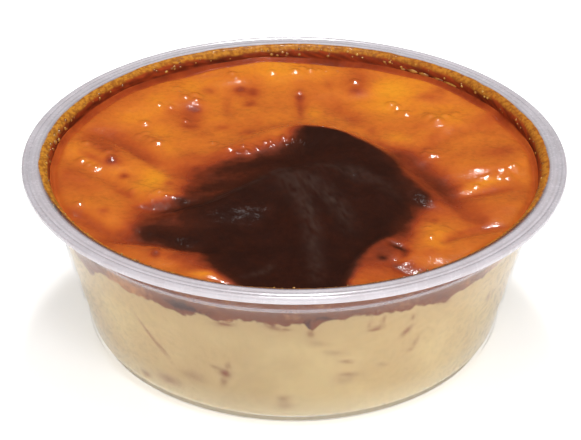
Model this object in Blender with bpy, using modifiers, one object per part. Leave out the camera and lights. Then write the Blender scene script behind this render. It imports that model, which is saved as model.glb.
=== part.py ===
"""A jericalla, the baked custard of Guadalajara with a burnt skin, in its round clear plastic tub.

Lengths are in millimetres, and MM turns them into Blender's metres where meshes are made. +Z is up,
+X is to the eater's right and -Y is towards them. The origin is under the middle of the tub, on the
surface that it stands on.
"""

import math

import bpy
import numpy as np

MM = 0.001

# The tub: a thin turned shell with a broad rim for a press-on lid
RIM_RADIUS = 58.5
RIM_HEIGHT = 40.4
MOUTH_RADIUS = 55.05
MOUTH_ROUNDING = 0.3
MOUTH_DIP = 0.08
FLARE_START = 37.3
FLARE_END_DEGREES = 105
LIP_THICKNESS = 1.6
LIP_ROUNDING = 0.6
LIP_ROOT = 1.2
LIP_ROOT_ROUNDING = 0.7
WALL = 0.75
NECK_RADIUS = 53.35
NECK_HEIGHT = 36.6
BEAD_HEIGHT = 34.0
BEAD_PROUD = 0.3
BEAD_HALF_WIDTH = 0.35
BEAD_SLOPE = 0.35
BASE_RADIUS = 45.9
BASE_ROUNDING = 5.4
INNER_ROUNDING = 4.0
FOOT_RADIUS = BASE_RADIUS - BASE_ROUNDING
FOOT_WIDTH = 2.5
FOOT_RECESS = 0.8
FLOOR_HEIGHT = FOOT_RECESS + WALL
TUB_STEPS = 72
ARC_STEPS = 4
BASE_STEPS = 6

# The custard: poured in, so it follows the inside of the tub with a clear gap
CLEARANCE = 0.3
CUSTARD_STEPS = 108
SKIN_RINGS = 22
SKIN_LEVEL = 37.2
SKIN_EDGE_RADIUS = 50.7
GROOVE_RADIUS = 51.7
GROOVE_DEPTH = 0.5
GROOVE_WIDTH = 0.8
COLLAR_RISE = 0.9
SAG = 0.8
SAG_RADIUS = 33.0
SAG_WIDTH = 12.0

# Folds of the skin. A ridge or a crease is a smooth line through points of
# (x, y, height or depth, half-width on its left side, half-width on its right side).
BLISTER_RIDGES = (
    # the crest, from the left shoulder round the back to the right flank
    (
        (-19, 5, 0.5, 4.5, 7),
        (-13, 8.5, 1.6, 4.2, 9),
        (-7, 11.8, 2.4, 4.0, 11),
        (0, 13.4, 3.0, 3.8, 13),
        (6, 13.1, 3.2, 3.6, 14),
        (12, 10.2, 3.15, 3.6, 14),
        (17, 5, 3.0, 3.6, 13),
        (21, -1, 2.7, 3.6, 11),
        (25, -9, 2.2, 3.6, 8),
        (29, -14.5, 1.4, 3.6, 6),
        (34, -18, 0.6, 3.6, 5),
    ),
    # the left arm, rising to the peak
    (
        (-35, -25, 0.2, 2.5, 4),
        (-30, -23.5, 0.9, 2.5, 5),
        (-24, -21.5, 1.5, 3, 7),
        (-18, -19.3, 2.1, 3.2, 9),
        (-13, -15.5, 2.5, 3.6, 11),
        (-8, -11.5, 2.9, 4.5, 13),
        (-2, -8, 3.1, 6, 15),
        (5, -6, 3.0, 8, 13),
    ),
    # the spine, from the peak to the front wall
    (
        (-2, -8, 3.1, 9, 8),
        (1, -15, 3.0, 9, 8),
        (2.5, -24, 2.6, 8, 8),
        (3.5, -34, 1.9, 8, 7),
        (4, -44, 1.2, 7, 6),
        (4.5, -52, 0.7, 7, 6),
    ),
    # the right rib, down to the fold at the front
    (
        (12, 4, 3.0, 8, 9),
        (16, -6, 2.6, 8, 7),
        (18.5, -16, 2.2, 8, 5),
        (19, -25, 1.9, 8, 3.6),
        (17, -33, 1.6, 8, 2.4),
        (13, -40, 1.4, 7, 2.2),
        (11.5, -47, 1.1, 7, 2.2),
        (11, -52, 0.9, 7, 2.4),
    ),
    # the left rib of the front slope
    (
        (-18, -24, 1.2, 6, 4),
        (-13, -32, 1.2, 6, 4.5),
        (-9, -41, 1.1, 5, 5),
        (-6, -50, 0.7, 5, 5),
    ),
)
FOLD_RIDGES = (
    # left side, from the back to the front
    ((-50, 9, 0.3, 4, 2.5), (-43, 5.5, 0.9, 5, 2.5), (-37, 1.5, 0.6, 5, 3), (-31, -1, 0.3, 5, 3)),
    ((-50, -3, 0.4, 5, 2.2), (-44, -4.5, 0.7, 5, 2.2), (-37, -9, 0.5, 5, 3)),
    ((-36, -8, 0.3, 5, 4), (-30, -12.5, 1.1, 6, 2.4), (-24, -14, 0.9, 6, 2.4)),
    ((-49, -17, 0.3, 4, 3), (-43, -17.5, 0.5, 4, 3), (-38, -21, 0.8, 5, 3), (-33, -25.5, 0.5, 4, 3)),
    ((-38, -33, 0.4, 3, 4), (-29, -37, 0.9, 4, 4), (-21, -39, 0.9, 4, 4)),
    ((-24, -45.5, 0.3, 3, 3), (-17, -45.5, 0.8, 3.5, 3)),
    # right side, from the back to the front
    ((27, 22, 0.4, 5, 4), (33, 21.5, 0.8, 5, 3.5), (39, 22, 0.4, 5, 5)),
    ((27, 6, 0.5, 5, 4), (34, 3, 0.7, 6, 5), (41, 0, 1.0, 7, 3), (48, 2, 1.0, 7, 3), (52, 6, 0.5, 5, 3)),
    ((36, -12, 0.3, 3, 3), (42, -16, 0.6, 4, 4), (49, -17, 0.4, 4, 4)),
    ((27, -21, 0.3, 3, 3), (29, -28, 1.1, 4, 3.5), (27, -34, 0.5, 4, 4)),
    ((30, -36, 0.5, 4, 4), (37, -31.5, 0.8, 3, 4), (46, -27.5, 0.3, 3, 3)),
    ((19, -43, 0.3, 3, 3), (23, -38.5, 0.7, 3, 3), (26, -35, 0.3, 3, 3)),
    # back, small blisters
    ((-28, 36, 0.3, 4, 3), (-23.5, 31.5, 0.8, 4, 3), (-22, 27, 0.3, 3, 3)),
    ((13.5, 42, 0.3, 4, 4), (14.5, 37, 0.6, 4, 4), (15, 33, 0.2, 4, 4)),
    ((-16, 44, 0.4, 3, 3), (-13, 43.5, 0.5, 3, 3)),
    ((-2, 46, 0.3, 4, 3), (4, 46, 0.5, 4, 3)),
)
CREASES = (
    # left side, from the back to the front
    (
        (-48, 18, 0.3, 3, 2),
        (-41, 15, 0.9, 3.5, 2),
        (-34, 8, 1.1, 3, 2),
        (-27, 0, 1.0, 3, 2),
        (-22, -4, 0.5, 3, 2),
    ),
    ((-46, 0, 0.3, 2, 2), (-40, -5, 0.7, 2, 2), (-34, -12.5, 0.8, 2, 2), (-32, -15, 0.3, 2, 2)),
    ((-33, -17, 0.4, 2, 2), (-26, -17, 0.7, 2, 2), (-20, -15, 0.4, 2, 2)),
    ((-50, -17, 0.3, 2, 2), (-44, -21.5, 0.8, 2.2, 2.2), (-38, -27, 0.7, 2.2, 2.2), (-34, -29, 0.3, 2, 2)),
    ((-39, -30.5, 0.3, 2, 2), (-31, -30.5, 0.8, 2, 2), (-23, -32.5, 0.9, 2, 2), (-17, -34, 0.3, 2, 2)),
    # right side, from the back to the front
    (
        (23, 10, 0.2, 3, 3),
        (28, 0, 0.5, 3, 3),
        (32, -8, 0.8, 3, 3),
        (36, -18, 0.8, 3, 2.5),
        (39, -24, 0.3, 2, 2),
    ),
    ((34, -11.5, 0.4, 2, 2), (39, -10.5, 0.9, 2, 2), (46, -8, 0.6, 2, 2), (50, -7, 0.2, 2, 2)),
    ((31, -31, 0.6, 1.8, 1.8), (37, -27, 0.7, 1.8, 1.8), (47, -24.5, 0.3, 1.8, 1.8)),
    (
        (20, -33, 0.3, 1, 1),
        (22.5, -35, 0.5, 1, 1),
        (22, -38, 0.4, 1.4, 1.4),
        (20, -41, 0.5, 1.6, 1.6),
        (24, -44, 0.4, 1.6, 1.6),
    ),
    ((26, 6, 0.2, 2, 2), (31, 12, 0.5, 2, 2), (37, 18, 0.2, 2, 2)),
    ((38, 17, 0.2, 2, 2), (43, 18.5, 0.4, 2, 2), (46, 23, 0.2, 2, 2)),
    # back
    ((1.2, 36, 0.2, 1.4, 1.4), (1.8, 30, 0.5, 1.4, 1.4), (2, 24, 0.2, 1.4, 1.4)),
    ((-15, 34, 0.2, 1.4, 1.4), (-14.8, 28, 0.4, 1.4, 1.4), (-14.5, 23, 0.2, 1.4, 1.4)),
    ((7, 33, 0.2, 2.5, 2.5), (10.5, 28, 0.5, 2.5, 2.5), (14, 22, 0.3, 2.5, 2.5)),
    ((-21.5, 28, 0.2, 2, 2), (-22, 24.5, 0.4, 2, 2), (-23.5, 19, 0.2, 2, 2)),
)
LINE_SAMPLES = 8
SIDE_SOFTNESS = 0.5
TENT_SHARPNESS = 1.5
TENT_BLEND = 0.25

# Gentle unevenness: waves of (length, height, heading in degrees, phase)
SWELLS = (
    (31, 0.22, 12, 0.7),
    (23, 0.16, 74, 2.1),
    (17, 0.12, 128, 4.0),
    (11.5, 0.07, 41, 5.2),
    (8.7, 0.05, 101, 1.3),
)

PLASTIC_COLOUR = (0.80, 0.79, 0.84)
PLASTIC_ROUGHNESS = 0.12
PLASTIC_ALPHA = 0.35
SKIN_COLOUR = (0.50, 0.16, 0.03)
SKIN_ROUGHNESS = 0.3


def clear_scene():
    for item in list(bpy.data.objects):
        bpy.data.objects.remove(item)


def new_collection(name):
    collection = bpy.data.collections.new(name)
    bpy.context.scene.collection.children.link(collection)
    return collection


def new_material(name, colour, roughness, alpha=1.0):
    material = bpy.data.materials.new(name)
    material.use_nodes = True
    shader = material.node_tree.nodes["Principled BSDF"]
    shader.inputs["Base Color"].default_value = (*colour, 1.0)
    shader.inputs["Roughness"].default_value = roughness
    shader.inputs["Metallic"].default_value = 0.0
    shader.inputs["Alpha"].default_value = alpha
    return material


def arc(centre, radius, start, end, steps=ARC_STEPS):
    """Points of (radius from the axis, height) on an arc, between two angles in degrees."""
    points = []
    for step in range(steps + 1):
        angle = math.radians(start + (end - start) * step / steps)
        points.append((centre[0] + radius * math.cos(angle), centre[1] + radius * math.sin(angle)))
    return points


def outer_wall_radius(height):
    """The wall's outer taper, between the base's rounding and the neck."""
    share = (height - BASE_ROUNDING) / (NECK_HEIGHT - BASE_ROUNDING)
    return BASE_RADIUS + share * (NECK_RADIUS - BASE_RADIUS)


def inner_wall_radius(height):
    return outer_wall_radius(height) - WALL


def turned(name, outline, steps, material, collection):
    """One solid turned about Z from an outline that starts and ends on the axis."""
    mesh = bpy.data.meshes.new(name)
    points = [(radius * MM, 0.0, height * MM) for radius, height in outline]
    mesh.from_pydata(points, [(i, i + 1) for i in range(len(points) - 1)], [])
    mesh.materials.append(material)
    thing = bpy.data.objects.new(name, mesh)
    collection.objects.link(thing)
    screw = thing.modifiers.new("turn", "SCREW")
    screw.axis = "Z"
    screw.steps = steps
    screw.render_steps = steps
    screw.use_merge_vertices = True
    screw.merge_threshold = 0.01 * MM
    screw.use_smooth_shade = True
    return thing


def bake_modifiers(thing):
    """Puts the evaluated mesh in place of the modifiers, so that its points can be moved."""
    graph = bpy.context.evaluated_depsgraph_get()
    mesh = bpy.data.meshes.new_from_object(thing.evaluated_get(graph))
    thing.modifiers.clear()
    thing.data = mesh


def tub_outline():
    """From the middle of the inner floor, up inside, over the lip, down outside and under the foot."""
    outline = [(0.0, FLOOR_HEIGHT)]
    inner_corner = FLOOR_HEIGHT + INNER_ROUNDING
    inner_foot = inner_wall_radius(inner_corner) - INNER_ROUNDING
    outline += arc((inner_foot, inner_corner), INNER_ROUNDING, -90, 0)

    # inside of the neck, which flares out into the mouth
    outline.append((inner_wall_radius(FLARE_START), FLARE_START))
    flare_centre = MOUTH_RADIUS - MOUTH_ROUNDING
    flare = flare_centre - inner_wall_radius(FLARE_START)
    outline += arc((flare_centre, RIM_HEIGHT - MOUTH_ROUNDING - flare), flare, 180, FLARE_END_DEGREES)
    outline.append((MOUTH_RADIUS, RIM_HEIGHT - MOUTH_DIP))

    # the lip's flat top, rounded edge and underside
    lip_centre = RIM_RADIUS - LIP_ROUNDING
    lip_underside = RIM_HEIGHT - LIP_THICKNESS
    outline.append((MOUTH_RADIUS + MOUTH_ROUNDING, RIM_HEIGHT))
    outline += arc((lip_centre, RIM_HEIGHT - LIP_ROUNDING), LIP_ROUNDING, 90, 0)
    outline += arc((lip_centre, lip_underside + LIP_ROUNDING), LIP_ROUNDING, 0, -90, 2)
    lip_root = NECK_RADIUS + LIP_ROOT
    outline.append((lip_root, lip_underside))
    outline.append((lip_root - LIP_ROOT_ROUNDING, lip_underside - LIP_ROOT_ROUNDING))

    # the tapered wall, with the fine bead that another tub stops at when they are stacked
    outline.append((NECK_RADIUS, NECK_HEIGHT))
    for along, proud in (
        (BEAD_HALF_WIDTH + BEAD_SLOPE, 0.0),
        (BEAD_HALF_WIDTH, BEAD_PROUD),
        (-BEAD_HALF_WIDTH, BEAD_PROUD),
        (-BEAD_HALF_WIDTH - BEAD_SLOPE, 0.0),
    ):
        height = BEAD_HEIGHT + along
        outline.append((outer_wall_radius(height) + proud, height))
    outline += arc((FOOT_RADIUS, BASE_ROUNDING), BASE_ROUNDING, 0, -90, BASE_STEPS)

    # the foot ring and the recess that it surrounds
    ring_inside = FOOT_RADIUS - FOOT_WIDTH
    outline.append((ring_inside, 0.0))
    outline.append((ring_inside - FOOT_RECESS, FOOT_RECESS))
    outline.append((0.0, FOOT_RECESS))
    return outline


def smooth_line(knots):
    """A Catmull-Rom line through the knots, sampled as an array with the knots' own columns."""
    knots = np.array(knots, dtype=float)
    first, last = 2 * knots[0] - knots[1], 2 * knots[-1] - knots[-2]
    chain = np.vstack([first, knots, last])
    samples = []
    for before, start, end, after in zip(chain, chain[1:], chain[2:], chain[3:]):
        for t in np.arange(LINE_SAMPLES) / LINE_SAMPLES:
            slope = (end - before) * t
            bend = (2 * before - 5 * start + 4 * end - after) * t**2
            twist = (3 * start - before - 3 * end + after) * t**3
            samples.append(0.5 * (2 * start + slope + bend + twist))
    samples.append(knots[-1])
    return np.array(samples)


def line_profile(knots, x, y, sharpness):
    """How high a line's profile stands over each point: full on the line, fading over its half-widths."""
    line = smooth_line(knots)
    closest = np.full(len(x), np.inf)
    rise, left, right, side = np.zeros((4, len(x)))
    for start, end in zip(line, line[1:]):
        run, climb = end[:2] - start[:2]
        length = math.hypot(run, climb)
        along = ((x - start[0]) * run + (y - start[1]) * climb) / length**2
        along = np.clip(along, 0, 1)
        away_x, away_y = x - start[0] - along * run, y - start[1] - along * climb
        distance = np.hypot(away_x, away_y)
        nearer = distance < closest
        closest = np.where(nearer, distance, closest)
        turn = (run * away_y - climb * away_x) / (length * (distance + SIDE_SOFTNESS))
        side = np.where(nearer, turn, side)
        rise, left, right = (
            np.where(nearer, start[column] + along * (end[column] - start[column]), old)
            for column, old in ((2, rise), (3, left), (4, right))
        )
    width = left * (0.5 + 0.5 * side) + right * (0.5 - 0.5 * side)
    return rise * np.exp(-((closest / width) ** sharpness))


def blister_height(x, y):
    """The ridges of the dark blister, blended like cloth over tent poles."""
    layers = [line_profile(ridge, x, y, TENT_SHARPNESS) for ridge in BLISTER_RIDGES]
    total = sum(np.exp(layer / TENT_BLEND) for layer in layers)
    return TENT_BLEND * np.log(total / len(layers))


def skin_height(x, y):
    """The height of the burnt skin over the floor of the room, at arrays of x and y."""
    radius = np.hypot(x, y)
    height = SKIN_LEVEL - SAG * np.exp(-(((radius - SAG_RADIUS) / SAG_WIDTH) ** 2))
    for length, swell, heading, phase in SWELLS:
        along = x * math.cos(math.radians(heading)) + y * math.sin(math.radians(heading))
        height = height + swell * np.sin(2 * math.pi * along / length + phase)
    height = height + np.maximum(blister_height(x, y), 0)
    for ridge in FOLD_RIDGES:
        height = height + line_profile(ridge, x, y, 2)
    for crease in CREASES:
        height = height - line_profile(crease, x, y, 2)

    # at the wall: a shallow groove, then a collar that clings to the plastic
    groove = GROOVE_DEPTH * np.exp(-(((radius - GROOVE_RADIUS) / GROOVE_WIDTH) ** 2))
    collar_width = inner_wall_radius(SKIN_LEVEL) - GROOVE_RADIUS
    collar = COLLAR_RISE * np.clip((radius - GROOVE_RADIUS) / collar_width, 0, 1)
    return height - groove + collar


def custard_outline():
    """A flat-topped plug that fills the tub, with a ring of points for each row of the skin."""
    floor = FLOOR_HEIGHT + CLEARANCE
    corner = floor + INNER_ROUNDING
    foot = inner_wall_radius(corner) - CLEARANCE - INNER_ROUNDING
    outline = [(SKIN_EDGE_RADIUS * ring / SKIN_RINGS, SKIN_LEVEL) for ring in range(SKIN_RINGS + 1)]
    outline.append((GROOVE_RADIUS, SKIN_LEVEL))
    outline.append((inner_wall_radius(SKIN_LEVEL) - CLEARANCE, SKIN_LEVEL))
    outline += arc((foot, corner), INNER_ROUNDING, 0, -90)
    outline.append((0.0, floor))
    return outline


def raise_skin(thing):
    """Moves the points of the flat top to the height of the folded skin."""
    points = np.empty(len(thing.data.vertices) * 3)
    thing.data.vertices.foreach_get("co", points)
    points = points.reshape(-1, 3)
    top = points[:, 2] > (SKIN_LEVEL - 0.1) * MM
    x, y = points[top, 0] / MM, points[top, 1] / MM
    points[top, 2] = skin_height(x, y) * MM
    thing.data.vertices.foreach_set("co", points.ravel())
    thing.data.update()


def main():
    clear_scene()
    collection = new_collection("jericalla")
    plastic = new_material("clear_plastic", PLASTIC_COLOUR, PLASTIC_ROUGHNESS, PLASTIC_ALPHA)
    skin = new_material("burnt_custard", SKIN_COLOUR, SKIN_ROUGHNESS)
    turned("tub", tub_outline(), TUB_STEPS, plastic, collection)
    custard = turned("custard", custard_outline(), CUSTARD_STEPS, skin, collection)
    bake_modifiers(custard)
    raise_skin(custard)


main()
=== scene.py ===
"""The looks of a jericalla: the burnt, glossy skin of the custard, its cream side seen through the
wall, the syrup that climbs the neck, and the clear plastic tub.

Lengths are in millimetres until MM turns them into Blender's metres. +Z is up, +X is to the eater's
right and -Y is towards them. An angle round the tub is 0 at its front and grows towards the right.
"""

import math

import bpy
import numpy as np
from mathutils import Matrix, Vector


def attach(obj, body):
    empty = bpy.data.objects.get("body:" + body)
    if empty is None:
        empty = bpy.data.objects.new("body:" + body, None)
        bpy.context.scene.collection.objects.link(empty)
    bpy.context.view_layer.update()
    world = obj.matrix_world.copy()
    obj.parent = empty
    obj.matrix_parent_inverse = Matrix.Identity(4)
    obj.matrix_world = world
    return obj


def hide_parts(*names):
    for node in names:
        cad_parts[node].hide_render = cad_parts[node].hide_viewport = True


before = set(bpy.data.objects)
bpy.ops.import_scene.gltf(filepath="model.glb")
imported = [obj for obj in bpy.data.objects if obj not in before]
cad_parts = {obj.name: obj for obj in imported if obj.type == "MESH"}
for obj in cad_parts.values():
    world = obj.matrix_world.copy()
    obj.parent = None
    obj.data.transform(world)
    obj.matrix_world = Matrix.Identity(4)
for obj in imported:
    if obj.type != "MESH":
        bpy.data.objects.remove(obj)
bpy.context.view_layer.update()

MM = 0.001

# ------------ sizes, as in the frame
RIM_RADIUS = 58.5
RIM_HEIGHT = 40.4
MOUTH_RADIUS = 55.05
MOUTH_ROUNDING = 0.3
MOUTH_DIP = 0.08
FLARE_START = 37.3
FLARE_END_DEGREES = 105
LIP_THICKNESS = 1.6
LIP_ROUNDING = 0.6
LIP_ROOT = 1.2
LIP_ROOT_ROUNDING = 0.7
WALL = 0.75
NECK_RADIUS = 53.35
NECK_HEIGHT = 36.6
BEAD_HEIGHT = 34.0
BEAD_PROUD = 0.3
BEAD_HALF_WIDTH = 0.35
BEAD_SLOPE = 0.35
BASE_RADIUS = 45.9
BASE_ROUNDING = 5.4
INNER_ROUNDING = 4.0
FOOT_RADIUS = BASE_RADIUS - BASE_ROUNDING
FOOT_WIDTH = 2.5
FOOT_RECESS = 0.8
FLOOR_HEIGHT = FOOT_RECESS + WALL
SKIN_LEVEL = 37.2
GROOVE_RADIUS = 51.7
GROOVE_DEPTH = 0.5
GROOVE_WIDTH = 0.8
COLLAR_RISE = 0.9
SAG = 0.8
SAG_RADIUS = 33.0
SAG_WIDTH = 12.0

# Folds of the skin, as in the frame: smooth lines through points of
# (x, y, height or depth, half-width on its left side, half-width on its right side). A line that is
# as wide on both sides gives its half-width once.
BLISTER_RIDGES = (
    # the crest, from the left shoulder round the back to the right flank
    (
        (-19, 5, 0.5, 4.5, 7), (-13, 8.5, 1.6, 4.2, 9), (-7, 11.8, 2.4, 4, 11), (0, 13.4, 3, 3.8, 13),
        (6, 13.1, 3.2, 3.6, 14), (12, 10.2, 3.15, 3.6, 14), (17, 5, 3, 3.6, 13), (21, -1, 2.7, 3.6, 11),
        (25, -9, 2.2, 3.6, 8), (29, -14.5, 1.4, 3.6, 6), (34, -18, 0.6, 3.6, 5),
    ),
    # the left arm, rising to the peak
    (
        (-35, -25, 0.2, 2.5, 4), (-30, -23.5, 0.9, 2.5, 5), (-24, -21.5, 1.5, 3, 7),
        (-18, -19.3, 2.1, 3.2, 9), (-13, -15.5, 2.5, 3.6, 11), (-8, -11.5, 2.9, 4.5, 13),
        (-2, -8, 3.1, 6, 15), (5, -6, 3, 8, 13),
    ),
    # the spine, from the peak to the front wall
    (
        (-2, -8, 3.1, 9, 8), (1, -15, 3, 9, 8), (2.5, -24, 2.6, 8, 8), (3.5, -34, 1.9, 8, 7),
        (4, -44, 1.2, 7, 6), (4.5, -52, 0.7, 7, 6),
    ),
    # the right rib, down to the fold at the front
    (
        (12, 4, 3, 8, 9), (16, -6, 2.6, 8, 7), (18.5, -16, 2.2, 8, 5), (19, -25, 1.9, 8, 3.6),
        (17, -33, 1.6, 8, 2.4), (13, -40, 1.4, 7, 2.2), (11.5, -47, 1.1, 7, 2.2), (11, -52, 0.9, 7, 2.4),
    ),
    # the left rib of the front slope
    ((-18, -24, 1.2, 6, 4), (-13, -32, 1.2, 6, 4.5), (-9, -41, 1.1, 5, 5), (-6, -50, 0.7, 5, 5)),
)
FOLD_RIDGES = (
    # left side, from the back to the front
    ((-50, 9, 0.3, 4, 2.5), (-43, 5.5, 0.9, 5, 2.5), (-37, 1.5, 0.6, 5, 3), (-31, -1, 0.3, 5, 3)),
    ((-50, -3, 0.4, 5, 2.2), (-44, -4.5, 0.7, 5, 2.2), (-37, -9, 0.5, 5, 3)),
    ((-36, -8, 0.3, 5, 4), (-30, -12.5, 1.1, 6, 2.4), (-24, -14, 0.9, 6, 2.4)),
    ((-49, -17, 0.3, 4, 3), (-43, -17.5, 0.5, 4, 3), (-38, -21, 0.8, 5, 3), (-33, -25.5, 0.5, 4, 3)),
    ((-38, -33, 0.4, 3, 4), (-29, -37, 0.9, 4, 4), (-21, -39, 0.9, 4, 4)),
    ((-24, -45.5, 0.3, 3, 3), (-17, -45.5, 0.8, 3.5, 3)),
    # right side, from the back to the front
    ((27, 22, 0.4, 5, 4), (33, 21.5, 0.8, 5, 3.5), (39, 22, 0.4, 5, 5)),
    ((27, 6, 0.5, 5, 4), (34, 3, 0.7, 6, 5), (41, 0, 1, 7, 3), (48, 2, 1, 7, 3), (52, 6, 0.5, 5, 3)),
    ((36, -12, 0.3, 3), (42, -16, 0.6, 4), (49, -17, 0.4, 4)),
    ((27, -21, 0.3, 3, 3), (29, -28, 1.1, 4, 3.5), (27, -34, 0.5, 4, 4)),
    ((30, -36, 0.5, 4, 4), (37, -31.5, 0.8, 3, 4), (46, -27.5, 0.3, 3, 3)),
    ((19, -43, 0.3, 3), (23, -38.5, 0.7, 3), (26, -35, 0.3, 3)),
    # back, small blisters
    ((-28, 36, 0.3, 4, 3), (-23.5, 31.5, 0.8, 4, 3), (-22, 27, 0.3, 3, 3)),
    ((13.5, 42, 0.3, 4), (14.5, 37, 0.6, 4), (15, 33, 0.2, 4)),
    ((-16, 44, 0.4, 3), (-13, 43.5, 0.5, 3)),
    ((-2, 46, 0.3, 4, 3), (4, 46, 0.5, 4, 3)),
)
CREASES = (
    # left side, from the back to the front
    (
        (-48, 18, 0.3, 3, 2), (-41, 15, 0.9, 3.5, 2), (-34, 8, 1.1, 3, 2), (-27, 0, 1, 3, 2),
        (-22, -4, 0.5, 3, 2),
    ),
    ((-46, 0, 0.3, 2), (-40, -5, 0.7, 2), (-34, -12.5, 0.8, 2), (-32, -15, 0.3, 2)),
    ((-33, -17, 0.4, 2), (-26, -17, 0.7, 2), (-20, -15, 0.4, 2)),
    ((-50, -17, 0.3, 2), (-44, -21.5, 0.8, 2.2), (-38, -27, 0.7, 2.2), (-34, -29, 0.3, 2)),
    ((-39, -30.5, 0.3, 2), (-31, -30.5, 0.8, 2), (-23, -32.5, 0.9, 2), (-17, -34, 0.3, 2)),
    # right side, from the back to the front
    (
        (23, 10, 0.2, 3, 3), (28, 0, 0.5, 3, 3), (32, -8, 0.8, 3, 3), (36, -18, 0.8, 3, 2.5),
        (39, -24, 0.3, 2, 2),
    ),
    ((34, -11.5, 0.4, 2), (39, -10.5, 0.9, 2), (46, -8, 0.6, 2), (50, -7, 0.2, 2)),
    ((31, -31, 0.6, 1.8), (37, -27, 0.7, 1.8), (47, -24.5, 0.3, 1.8)),
    ((20, -33, 0.3, 1), (22.5, -35, 0.5, 1), (22, -38, 0.4, 1.4), (20, -41, 0.5, 1.6), (24, -44, 0.4, 1.6)),
    ((26, 6, 0.2, 2), (31, 12, 0.5, 2), (37, 18, 0.2, 2)),
    ((38, 17, 0.2, 2), (43, 18.5, 0.4, 2), (46, 23, 0.2, 2)),
    # back
    ((1.2, 36, 0.2, 1.4), (1.8, 30, 0.5, 1.4), (2, 24, 0.2, 1.4)),
    ((-15, 34, 0.2, 1.4), (-14.8, 28, 0.4, 1.4), (-14.5, 23, 0.2, 1.4)),
    ((7, 33, 0.2, 2.5), (10.5, 28, 0.5, 2.5), (14, 22, 0.3, 2.5)),
    ((-21.5, 28, 0.2, 2), (-22, 24.5, 0.4, 2), (-23.5, 19, 0.2, 2)),
)
LINE_SAMPLES = 8
LINE_STEEPNESS = 2
SIDE_SOFTNESS = 0.5
TENT_STEEPNESS = 1.5
TENT_BLEND = 0.25
# the peak, where the spine starts
PEAK = BLISTER_RIDGES[2][0][:2]

# Gentle unevenness: waves of (length, height, heading in degrees, phase)
SWELLS = (
    (31, 0.22, 12, 0.7), (23, 0.16, 74, 2.1), (17, 0.12, 128, 4), (11.5, 0.07, 41, 5.2),
    (8.7, 0.05, 101, 1.3),
)

# ------------ how far each spot is toasted, and the painted shade and light added to it
# Toast runs from 0, yellow-orange, over rust at about 0.45, to 1, near black.
PLAIN_TOAST = 0.27
CHAR_TOAST = 0.98
HALO_TOAST = 0.32
TOAST_CONTRAST = 1.18
# painted shade darkens the creases, and painted light lightens the ridges of the folds, both as toast
CREASE_SHADE = 0.16
RIDGE_LIGHT = 0.06
COLLAR_TOAST = 0.52
COLLAR_START = 50.2
COLLAR_FULL = 51.8

# The outline of the near-black blister: points of (x, y, half the width over which it fades, and
# how far the browning reaches outside it).
CHAR_OUTLINE = (
    (2.5, 13.6, 0.7, 2), (6, 13.2, 0.6, 1.5), (9, 12.2, 0.6, 2.5), (12.5, 10.2, 0.6, 3),
    (16.8, 5.6, 0.8, 4), (19.3, 2.7, 1.2, 5), (21.6, -1.1, 1.8, 6), (23, -5.3, 2.4, 6),
    (24.6, -8.6, 2.8, 6), (25.2, -11.4, 2.8, 6.5), (24.6, -15.4, 2.6, 6.5), (23.8, -20, 2.8, 5.5),
    (22.6, -24.5, 2.8, 4.5), (21.2, -28.6, 2.4, 5), (18.3, -31.6, 1.2, 6), (14.8, -35, 1.4, 8),
    (12.6, -40.5, 1.8, 7), (11.2, -44.6, 1.8, 5), (10.4, -50, 1.6, 4), (9.8, -54, 1.6, 3),
    (-10, -54, 1.8, 3), (-11, -48, 2.2, 4), (-13.5, -45.5, 2.6, 5), (-16.5, -40.5, 3.2, 8),
    (-18.5, -35, 2.8, 8), (-21, -32, 1.6, 6), (-26, -30.4, 1, 4), (-30.5, -28.6, 2.2, 4),
    (-30, -26.4, 4, 6), (-27.6, -22.7, 4.4, 8), (-25, -18.7, 3.4, 7), (-22.2, -15.5, 2.6, 6),
    (-21.2, -10.5, 4, 6), (-19, -4.2, 5, 7), (-13.5, 0.8, 4.5, 6), (-6.5, 3.2, 4, 6), (-1.2, 6.2, 3.6, 5),
    (0.8, 8.6, 3, 4), (1.2, 11.5, 1.8, 3),
)
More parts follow.
